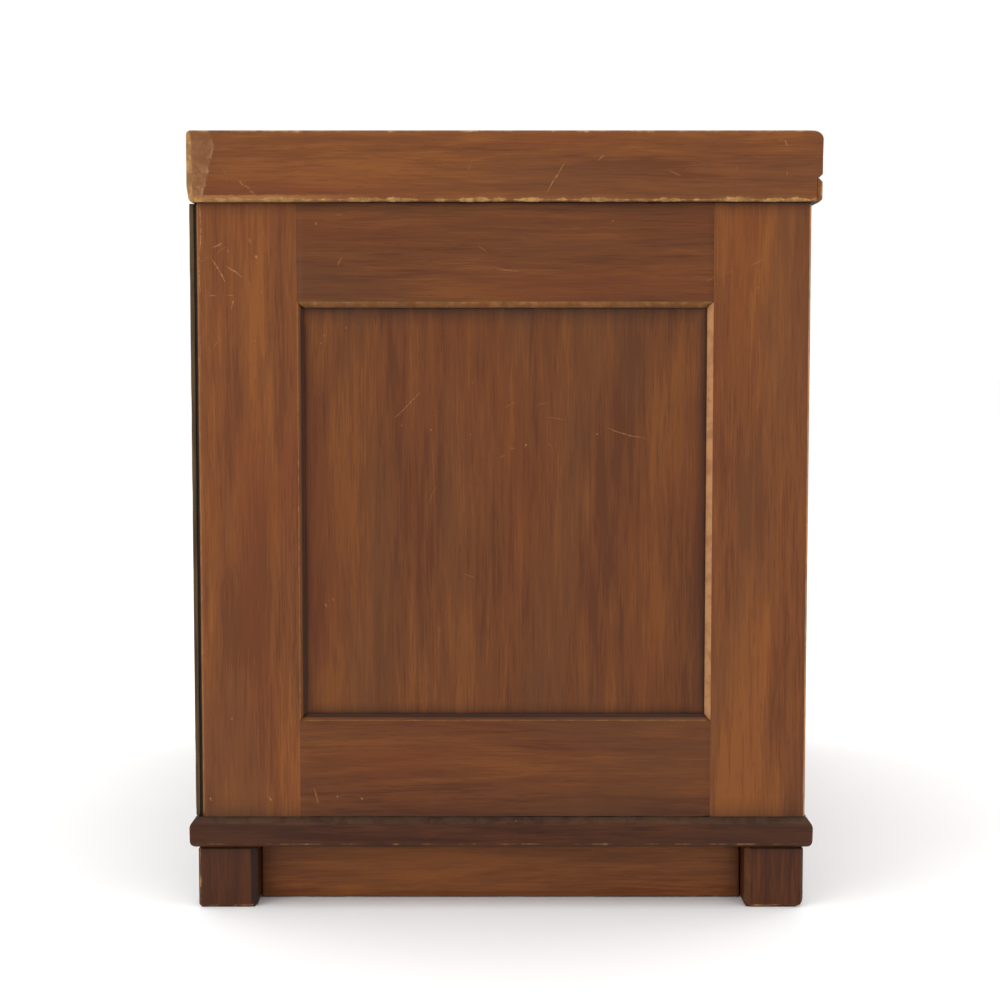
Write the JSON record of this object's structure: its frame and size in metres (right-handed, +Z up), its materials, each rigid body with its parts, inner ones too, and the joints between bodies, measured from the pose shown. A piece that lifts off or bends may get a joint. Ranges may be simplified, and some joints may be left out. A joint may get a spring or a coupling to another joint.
{
  "type": "ice chest",
  "caption": "Lift-top wooden ice chest: panelled case on a moulded base with feet, insulated zinc liner, hinged lid, sliding provision tray and pull-out drip tray.",
  "frame": {"origin": "on the floor, under the middle of the whole outline", "axes": "+X along the length, so -X is the left end seen from the front; -Y is the front, +Y the hinge side; +Z up"},
  "size_m": [0.855, 0.5948, 0.711],
  "materials": {
    "frame_wood": "stained and varnished, worn satin",
    "panel_wood": "stained and varnished, worn satin",
    "lid_wood": "stained and varnished, worn satin",
    "base_wood": "dark stained and varnished, worn satin",
    "apron_wood": "stained and varnished, worn satin",
    "rough_wood": "unfinished, aged dark",
    "slat_wood": "bare, scrubbed",
    "zinc": "zinc sheet, dull grey",
    "brass": "aged brass",
    "insulation": "packed fill, matt",
    "felt": "grey felt"
  },
  "bodies": {
    "case": {"end_left_stile_back": "frame_wood", "end_left_stile_front": "frame_wood", "end_left_rail_bottom": "frame_wood", "end_left_rail_top": "frame_wood", "end_right_stile_front": "frame_wood", "end_right_stile_back": "frame_wood", "end_right_rail_bottom": "frame_wood", "end_right_rail_top": "frame_wood", "front_stile_left": "frame_wood", "front_stile_right": "frame_wood", "front_rail_bottom": "frame_wood", "front_rail_top": "frame_wood", "front_mullion": "frame_wood", "end_left_panel": "panel_wood", "end_right_panel": "panel_wood", "front_panel_left": "panel_wood", "front_panel_right": "panel_wood", "base_frame_front": "base_wood", "base_frame_back": "base_wood", "base_frame_left": "base_wood", "base_frame_right": "base_wood", "foot_front_left": "base_wood", "foot_front_right": "base_wood", "foot_back_left": "base_wood", "foot_back_right": "base_wood", "apron_left": "apron_wood", "apron_right": "apron_wood", "apron_back": "apron_wood", "back_rail_bottom": "rough_wood", "back_rail_top": "rough_wood", "back_board_1": "rough_wood", "back_board_2": "rough_wood", "back_board_3": "rough_wood", "case_bottom": "rough_wood", "drip_runner_left": "rough_wood", "drip_runner_right": "rough_wood", "ice_rack": "slat_wood", "tray_ledge_front": "slat_wood", "tray_ledge_back": "slat_wood", "liner": "zinc", "drain_tube": "brass", "hinge_left_case_leaf": "brass", "hinge_right_case_leaf": "brass", "insulation_fill": "insulation"},
    "lid": {"lid_front": "lid_wood", "lid_back": "lid_wood", "lid_end_left": "lid_wood", "lid_end_right": "lid_wood", "lid_top": "lid_wood", "lid_pan": "zinc", "lid_insulation": "insulation", "lid_gasket": "felt", "hinge_left_lid_leaf": "brass", "hinge_right_lid_leaf": "brass", "lid_pull_plate": "brass"},
    "lid_pull": {"lid_pull_bail": "brass"},
    "drip_drawer": {"drip_tray": "zinc", "drip_tray_front": "apron_wood", "drip_tray_knob": "brass"},
    "provision_tray": {"provision_tray": "slat_wood"}
  },
  "joints": [
    {"name": "lid_hinge", "type": "hinge", "parent": "case", "child": "lid", "pos_m": [0, 0.2932, 0.6475], "axis": [-1, 0, 0], "range_deg": [0, 100]},
    {"name": "lid_pull_swing", "type": "hinge", "parent": "lid", "child": "lid_pull", "pos_m": [0, -0.2919, 0.691], "axis": [-1, 0, 0], "range_deg": [0, 110]},
    {"name": "drip_tray_slide", "type": "slide", "parent": "case", "child": "drip_drawer", "axis": [0, -1, 0], "range_m": [0, 0.29]},
    {"name": "provision_tray_slide", "type": "slide", "parent": "case", "child": "provision_tray", "axis": [-1, 0, 0], "range_m": [0, 0.36]}
  ]
}
